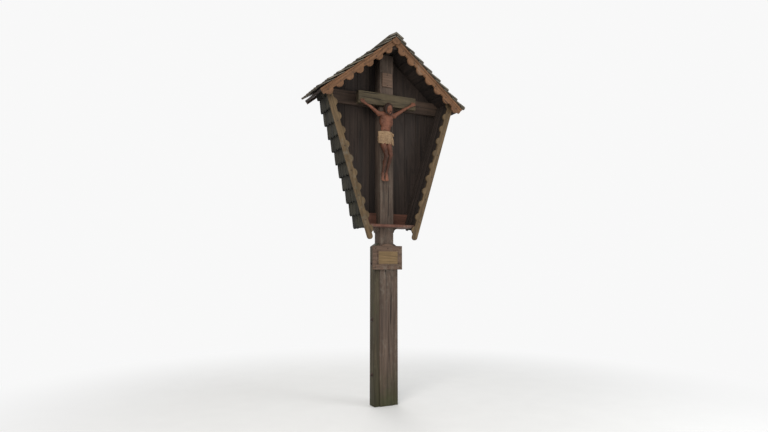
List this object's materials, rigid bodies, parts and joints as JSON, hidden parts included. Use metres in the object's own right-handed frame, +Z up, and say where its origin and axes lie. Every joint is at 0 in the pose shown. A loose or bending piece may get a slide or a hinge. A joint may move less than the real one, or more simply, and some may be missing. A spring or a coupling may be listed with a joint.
{
  "type": "wayside shrine",
  "caption": "Timber wayside shrine: a clamped post carries an open, downward tapering shingled housing with a gabled roof, a cross and a carved figure.",
  "frame": {"origin": "centre of the post's foot at ground level, where the post is fastened", "axes": "+Z up the post, +Y to the rear, so that the open front faces -Y; +X to the right as seen from the front"},
  "size_m": [1.9078, 0.56, 4.22],
  "materials": {
    "post_wood": "weathered grey brown",
    "mossy_cheek_wood": "weathered, green with moss",
    "board_wood": "weathered",
    "panel_wood": "weathered ochre",
    "rail_wood": "red brown stain",
    "housing_wood": "dark brown stain",
    "side_shingle_wood": "weathered, mossy",
    "trim_wood": "weathered, algae",
    "beam_wood": "weathered",
    "roof_shingle_wood": "weathered, mossy",
    "verge_wood": "faded warm brown",
    "painted_head": "worn matt paint",
    "painted_body": "worn matt paint",
    "painted_cloth": "worn matt paint"
  },
  "bodies": {
    "root": {"upright_post": "post_wood", "left_cheek_plank": "mossy_cheek_wood", "right_cheek_plank": "post_wood", "inscription_board": "board_wood", "inscription_panel": "panel_wood", "left_corbel": "post_wood", "right_corbel": "post_wood", "housing_floor": "rail_wood", "left_side_wall": "housing_wood", "right_side_wall": "housing_wood", "left_side_shingles": "side_shingle_wood", "right_side_shingles": "side_shingle_wood", "left_front_trim": "trim_wood", "right_front_trim": "trim_wood", "back_boards": "housing_wood", "bottom_rail": "rail_wood", "top_rail": "rail_wood", "cross_beam": "beam_wood", "title_board": "panel_wood", "ridge_beam": "housing_wood", "left_roof_deck": "housing_wood", "right_roof_deck": "housing_wood", "left_roof_shingles": "roof_shingle_wood", "right_roof_shingles": "roof_shingle_wood", "left_front_verge": "verge_wood", "right_front_verge": "verge_wood", "left_rear_verge": "verge_wood", "right_rear_verge": "verge_wood", "ridge_cap": "roof_shingle_wood", "apex_block": "verge_wood", "figure_head": "painted_head", "figure_torso": "painted_body", "figure_loincloth": "painted_cloth", "figure_left_arm": "painted_body", "figure_right_arm": "painted_body", "figure_left_leg": "painted_body", "figure_right_leg": "painted_body"}
  },
  "joints": []
}
